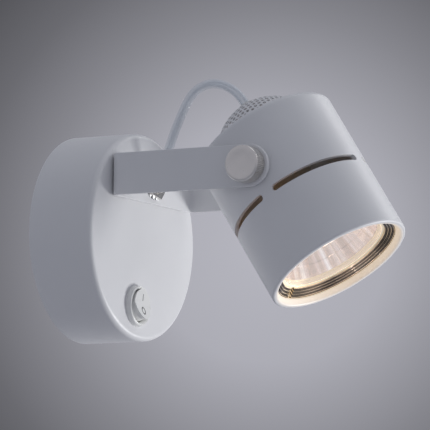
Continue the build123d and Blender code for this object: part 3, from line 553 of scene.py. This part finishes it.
def knob_skin(name, side):
    """A knurled knob with a rounded shoulder, a dished face and its stud."""
    deselect()
    barrel_height = KNOB_HEIGHT - KNOB_EDGE
    bpy.ops.mesh.primitive_cylinder_add(
        vertices=3 * KNOB_FLUTES,
        radius=KNOB_RADIUS,
        depth=barrel_height,
        location=(0, 0, barrel_height / 2),
    )
    knob = bpy.context.object
    bpy.ops.object.transform_apply(location=True)
    edit(knob)
    select_faces(knob, lambda middle, normal: normal.z > 0.9)
    for step in range(EDGE_STEPS):
        low = pi / 2 * step / EDGE_STEPS
        high = pi / 2 * (step + 1) / EDGE_STEPS
        bpy.ops.mesh.inset(
            thickness=KNOB_EDGE * (cos(low) - cos(high)),
            depth=KNOB_EDGE * (sin(high) - sin(low)),
        )
    for width, depth in DISH:
        bpy.ops.mesh.inset(thickness=width * MM, depth=depth * MM)
    bpy.ops.mesh.select_mode(type="VERT")
    spacing = tau / (3 * KNOB_FLUTES)

    def in_flute(place):
        on_wall = place.xy.length > KNOB_RADIUS * 0.999
        return on_wall and round(atan2(place.y, place.x) / spacing) % 3 == 0

    select_points(knob, in_flute)
    narrower = 1 - FLUTE_DEPTH / KNOB_RADIUS
    bpy.ops.transform.resize(value=(narrower, narrower, 1), center_override=(0, 0, 0))
    finish_editing()
    deselect()
    bpy.ops.mesh.primitive_cylinder_add(
        vertices=48,
        radius=STUD_RADIUS,
        depth=STUD_LENGTH + STUD_SINK,
        location=(0, 0, (STUD_SINK - STUD_LENGTH) / 2),
    )
    stud = bpy.context.object
    bpy.ops.object.transform_apply(location=True)
    skin = join([knob, stud], f"{name}_skin")
    smooth(skin, 30)
    out = bracket_right * side
    foot = pivot_place + out * ARM_OUTSIDE
    settle(skin, frame_matrix(foot, head_out, out.cross(head_out), out))
    coat(skin, knob_nickel)
    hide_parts(name)
    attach(skin, name)


knob_skin("knob_left", -1)
knob_skin("knob_right", 1)

# ---------------------------------------------------------------- reflector facets
BOWL_FOOT = 15.0 * MM
BOWL_MOUTH = 39.0 * MM
BOWL_FOOT_RADIUS = 4.5 * MM
BOWL_MOUTH_RADIUS = 22.65 * MM
FACET_RINGS = 9
FACET_COLUMNS = 40
FACET_GAP = 0.3 * MM  # from the bowl's glass to the facets
FACET_CROWN = 0.1 * MM
FACET_FRAME = 0.25 * MM
FACET_SHEET = 0.12 * MM


def bowl_ring(share):
    """Radius and height of the bowl's inside, this share of the way up its curve."""
    height = BOWL_FOOT + (BOWL_MOUTH - BOWL_FOOT) * share**2
    radius = BOWL_FOOT_RADIUS + (BOWL_MOUTH_RADIUS - BOWL_FOOT_RADIUS) * share
    return radius - FACET_GAP, height


def reflector_facets():
    """Rings of crowned facets that line the bowl."""
    radius, height = bowl_ring(0)
    deselect()
    bpy.ops.mesh.primitive_circle_add(
        vertices=FACET_COLUMNS, radius=radius, location=(0, 0, height)
    )
    facets = bpy.context.object
    bpy.ops.object.transform_apply(location=True)
    edit(facets)
    for ring in range(1, FACET_RINGS + 1):
        wider, higher = bowl_ring(ring / FACET_RINGS)
        rise = (0, 0, higher - height)
        bpy.ops.mesh.extrude_region_move(TRANSFORM_OT_translate={"value": rise})
        bpy.ops.transform.resize(value=(wider / radius, wider / radius, 1))
        radius, height = wider, higher
    bpy.ops.mesh.select_all(action="SELECT")
    bpy.ops.mesh.normals_make_consistent(inside=True)
    bpy.ops.mesh.select_mode(type="FACE")
    bpy.ops.mesh.select_all(action="SELECT")
    bpy.ops.mesh.inset(
        thickness=FACET_FRAME, depth=FACET_CROWN, use_individual=True
    )
    finish_editing()
    use_modifier(facets, "SOLIDIFY", thickness=FACET_SHEET, offset=-1)
    return join([facets], "reflector_facets")


facets = reflector_facets()
settle(facets, head_place)
coat(facets, facet_coat_with_painted_rays())
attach(facets, "head")

# ---------------------------------------------------------------- switch
BEZEL_RADIUS = 9.0 * MM
BEZEL_BORE = 7.5 * MM
BEZEL_HEIGHT = 2.25 * MM
BEZEL_FOOT = 0.02 * MM  # clear of the canopy's face
CREASE_OUT = 2.996 * MM  # of the rocker's crease, out of the canopy's face
CREASE_RISE = 0.616 * MM
LOWER_SLOPE = radians(20)
MARK_THICKNESS = 0.06 * MM
BAR_RISE = 3.1 * MM  # of the on mark's middle over the crease
BAR_WIDTH = 0.55 * MM
BAR_LENGTH = 3.0 * MM
BAR_EDGE = 0.05 * MM
BAR_TONE = 0.25
LOOP_DROP = 3.0 * MM  # of the off mark's middle under the crease
LOOP_RADIUS = 1.35 * MM
LOOP_LINE = 0.25 * MM
LOOP_STRETCH = 1.12
LOOP_TONE = 0.04

switch_place = frame_matrix(
    Vector((0, -CANOPY_DEPTH, -SWITCH_DROP)),
    Vector((1, 0, 0)),
    Vector((0, 0, 1)),
    Vector((0, -1, 0)),
)


def switch_bezel():
    """The domed ring round the rocker."""
    width = (BEZEL_RADIUS - BEZEL_BORE) / 2
    deselect()
    bpy.ops.mesh.primitive_torus_add(
        major_radius=BEZEL_RADIUS - width,
        minor_radius=width,
        major_segments=96,
        minor_segments=24,
    )
    ring = bpy.context.object
    edit(ring)
    bpy.ops.transform.resize(value=(1, 1, BEZEL_HEIGHT / width))
    bpy.ops.mesh.bisect(plane_co=(0, 0, BEZEL_FOOT), plane_no=(0, 0, 1), clear_inner=True)
    finish_editing()
    ring = join([ring], "switch_bezel")
    smooth(ring, 60)
    settle(ring, switch_place)
    coat(ring, plastic)
    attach(ring, "base")


def lay_mark(mark, name, place, tone):
    mark = join([mark], name)
    settle(mark, place)
    coat(mark, plain_stuff(name, (tone, tone, tone), 0.5, 900))
    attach(mark, "rocker")


def switch_marks():
    """A bar on the rocker's upper half and a ring on its lower half."""
    crease = switch_place @ Matrix.Translation((0, CREASE_RISE, CREASE_OUT))
    upper = crease @ Matrix.Translation((0, BAR_RISE, 0))
    lower_half = crease @ Matrix.Rotation(-LOWER_SLOPE, 4, "X")
    lower = lower_half @ Matrix.Translation((0, -LOOP_DROP, 0))
    deselect()
    bpy.ops.mesh.primitive_cube_add(size=1)
    bar = bpy.context.object
    edit(bar)
    bpy.ops.transform.resize(value=(BAR_WIDTH, BAR_LENGTH, 2 * MARK_THICKNESS))
    bpy.ops.mesh.bevel(offset=BAR_EDGE, segments=2)
    finish_editing()
    lay_mark(bar, "mark_on", upper, BAR_TONE)
    deselect()
    bpy.ops.mesh.primitive_torus_add(
        major_radius=LOOP_RADIUS,
        minor_radius=LOOP_LINE,
        major_segments=48,
        minor_segments=10,
    )
    loop = bpy.context.object
    edit(loop)
    bpy.ops.transform.resize(value=(1, LOOP_STRETCH, MARK_THICKNESS / LOOP_LINE))
    finish_editing()
    lay_mark(loop, "mark_off", lower, LOOP_TONE)


switch_bezel()
switch_marks()

# ---------------------------------------------------------------- cable
CABLE_DIAMETER = 4.0 * MM
# (across, up, out) from the bracket's middle, then heights on the head's axis
cable_points = [
    (0.0, 0.0, -3.8),
    (0.0, 0.0, 5.7),
    (-3.4, 8.2, 8.9),
    (-5.0, 20.0, 14.0),
    (-3.4, 30.4, 17.8),
    (-2.0, 37.2, 20.8),
    (-1.2, 41.0, 25.6),
    (-0.5, 42.2, 31.8),
    (0.0, 39.6, 39.3),
]
cable_into_head = [-41.0, -33.5]
route = [bracket_place @ (Vector(point) * MM) for point in cable_points]
route += [head_place @ Vector((0, 0, height * MM)) for height in cable_into_head]


def curve_through(name, places, kind, bevel, roundness):
    """A line or tube along these places, as a curve."""
    curve = bpy.data.curves.new(name, "CURVE")
    curve.dimensions = "3D"
    curve.resolution_u = 12
    curve.use_fill_caps = True
    spline = curve.splines.new(kind)
    spline.points.add(len(places) - 1)
    for point, place in zip(spline.points, places):
        point.co = (*place, 1)
    if kind == "NURBS":
        spline.order_u = 3
        spline.use_endpoint_u = True
    curve.bevel_depth = bevel
    curve.bevel_resolution = roundness
    piece = bpy.data.objects.new(name, curve)
    bpy.context.scene.collection.objects.link(piece)
    return piece


def tube_from(curve_piece, name, material):
    """Turn a curve into a mesh piece."""
    tube = bpy.data.objects.new(name, bpy.data.meshes.new_from_object(curve_piece))
    bpy.context.scene.collection.objects.link(tube)
    bpy.data.objects.remove(curve_piece)
    coat(tube, material)
    smooth(tube, 60)
    return tube


def line_points(piece):
    """The points along a curve that has no bevel."""
    line = bpy.data.meshes.new_from_object(piece)
    points = [vertex.co.copy() for vertex in line.vertices]
    bpy.data.meshes.remove(line)
    return points


guide = curve_through("cable_line", route, "NURBS", 0, 0)
cable_path = line_points(guide)
bpy.data.objects.remove(guide)

sleeve_curve = curve_through("sleeve_curve", route, "NURBS", CABLE_DIAMETER / 2, 6)
sleeve = tube_from(sleeve_curve, "cable_sleeve", clear_sleeve)

LEAD_DIAMETER = 1.3 * MM
LEAD_OFFSET = 1.15 * MM
LEAD_TWIST = tau / (400 * MM)  # a full turn in this length


def lead_path(phase):
    """A line beside the cable's middle that winds slowly round it."""
    points = []
    travelled = 0.0
    sideways = bracket_right
    for index, place in enumerate(cable_path):
        before = cable_path[max(index - 1, 0)]
        after = cable_path[min(index + 1, len(cable_path) - 1)]
        forward = (after - before).normalized()
        sideways = (sideways - forward * sideways.dot(forward)).normalized()
        travelled += (place - before).length
        turned = Matrix.Rotation(phase + travelled * LEAD_TWIST, 3, forward)
        points.append(place + turned @ sideways * LEAD_OFFSET)
    return points


def lead(name, phase):
    line = curve_through(name, lead_path(phase), "POLY", LEAD_DIAMETER / 2, 4)
    return tube_from(line, name, lead_stuff)


leads = [lead("cable_lead_1", 0.0), lead("cable_lead_2", pi)]
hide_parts("head_cable")
for piece in (sleeve, *leads):
    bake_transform(piece)

# ---------------------------------------------------------------- camera
# The photograph was taken with the bracket upright, so the camera turns with the bracket
CAMERA_AZIMUTH = radians(-60.88)
CAMERA_RISE = radians(-7.11)
CAMERA_ROLL = radians(0.57)
CAMERA_DISTANCE = 1692.9 * MM
CAMERA_TARGET = Vector((0, -65.6, 8.0)) * MM
FOCAL_PIXELS = 3950.47
PHOTO_PIXELS = 430
SENSOR = 36  # in the camera's own millimetres
CAMERA_FAR = 20

with_bracket = Matrix.Rotation(-SWING, 3, "Y")
back = Vector(
    (
        sin(CAMERA_AZIMUTH) * cos(CAMERA_RISE),
        -cos(CAMERA_AZIMUTH) * cos(CAMERA_RISE),
        sin(CAMERA_RISE),
    )
)
level_right = Vector((cos(CAMERA_AZIMUTH), sin(CAMERA_AZIMUTH), 0))
level_up = back.cross(level_right)
right = level_right * cos(CAMERA_ROLL) + level_up * sin(CAMERA_ROLL)
up = level_up * cos(CAMERA_ROLL) - level_right * sin(CAMERA_ROLL)
lens = bpy.data.cameras.new("photo_camera")
lens.sensor_width = SENSOR
lens.lens = FOCAL_PIXELS / PHOTO_PIXELS * SENSOR
lens.clip_end = CAMERA_FAR
camera = bpy.data.objects.new("photo_camera", lens)
bpy.context.scene.collection.objects.link(camera)
camera.matrix_world = frame_matrix(
    with_bracket @ (CAMERA_TARGET + back * CAMERA_DISTANCE),
    with_bracket @ right,
    with_bracket @ up,
    with_bracket @ back,
)
bpy.context.scene.camera = camera
bpy.context.scene.view_settings.view_transform = "Standard"

# ---------------------------------------------------------------- stage
FLOOR_DROP = 1.2
FLOOR_SIZE = 8
bpy.ops.mesh.primitive_plane_add(size=FLOOR_SIZE, location=(0, 0, -FLOOR_DROP))
floor = bpy.context.object
floor.name = "floor"
floor_paint, _, _ = new_material("floor_paint", (0.6, 0.6, 0.63), 0.8)
floor.data.materials.append(floor_paint)

# the backdrop's tone falls off round one direction, in pixels of the photograph
BACKDROP_MIDDLE = (268, 242)
BACKDROP_TONES = [(0, 184), (120, 175), (165, 160), (230, 136), (300, 108), (370, 84)]
BACKDROP_EDGE = 700  # pixels, where the tone is plain again
BACKDROP_PLAIN = 165
BACKDROP_TINT = (0.97, 0.97, 1.08)
ROOM_LIGHT = (0.72, 0.75, 0.85)
ROOM_STRENGTH = 0.44


def linear(tone):
    """A tone of 0 to 255 as an amount of light."""
    return ((tone / 255 + 0.055) / 1.055) ** 2.4


def backdrop_tone(tree):
    half = PHOTO_PIXELS / 2
    across = (BACKDROP_MIDDLE[0] - half) / FOCAL_PIXELS
    rise = (half - BACKDROP_MIDDLE[1]) / FOCAL_PIXELS
    toward = (with_bracket @ (right * across + up * rise - back)).normalized()
    ray = tree.nodes.new("ShaderNodeTexCoord").outputs["Generated"]
    away = vector_sum(tree, "DISTANCE", ray, toward)
    share = sum_up(tree, "DIVIDE", away, BACKDROP_EDGE / FOCAL_PIXELS)
    ramp = tree.nodes.new("ShaderNodeValToRGB")
    stops = [*BACKDROP_TONES, (BACKDROP_EDGE, BACKDROP_PLAIN)]
    while len(ramp.color_ramp.elements) < len(stops):
        ramp.color_ramp.elements.new(0.5)
    for element, (reach, tone) in zip(ramp.color_ramp.elements, stops):
        element.position = reach / BACKDROP_EDGE
        light = linear(tone)
        element.color = (*(light * share_of for share_of in BACKDROP_TINT), 1)
    tree.links.new(share, ramp.inputs["Fac"])
    return ramp.outputs["Color"]


def studio_world():
    world = bpy.data.worlds.new("studio")
    bpy.context.scene.world = world
    world.use_nodes = True
    tree = world.node_tree
    tree.nodes.clear()
    output = tree.nodes.new("ShaderNodeOutputWorld")
    light = tree.nodes.new("ShaderNodeBackground")
    light.inputs["Color"].default_value = (*ROOM_LIGHT, 1)
    light.inputs["Strength"].default_value = ROOM_STRENGTH
    seen = tree.nodes.new("ShaderNodeBackground")
    tree.links.new(backdrop_tone(tree), seen.inputs["Color"])
    rays = tree.nodes.new("ShaderNodeLightPath")
    direct = sum_up(
        tree,
        "MAXIMUM",
        rays.outputs["Is Camera Ray"],
        rays.outputs["Is Transmission Ray"],
    )
    sees_backdrop = sum_up(tree, "MAXIMUM", direct, rays.outputs["Is Glossy Ray"])
    choose = tree.nodes.new("ShaderNodeMixShader")
    tree.links.new(sees_backdrop, choose.inputs["Fac"])
    tree.links.new(light.outputs["Background"], choose.inputs[1])
    tree.links.new(seen.outputs["Background"], choose.inputs[2])
    tree.links.new(choose.outputs["Shader"], output.inputs["Surface"])


studio_world()


LAMPS_AIM = Vector((0, -0.065, 0))
LAMPS = [  # name, place, size and power
    ("key_lamp", (0.9, -1.0, -0.35), 0.5, 11),
    ("right_lamp", (0.9, -0.5, 0.9), 0.5, 1.4),
    ("top_lamp", (0.1, -0.45, 1.4), 0.6, 1.3),
    ("front_lamp", (0.2, -1.1, 0.8), 0.5, 1.1),
]


def soft_lamp(name, place, size, power):
    light = bpy.data.lights.new(name, "AREA")
    light.shape = "DISK"
    light.size = size
    light.energy = power
    lamp = bpy.data.objects.new(name, light)
    bpy.context.scene.collection.objects.link(lamp)
    lamp.location = place
    toward = LAMPS_AIM - Vector(place)
    lamp.rotation_euler = toward.to_track_quat("-Z", "Y").to_euler()


for lamp_row in LAMPS:
    soft_lamp(*lamp_row)
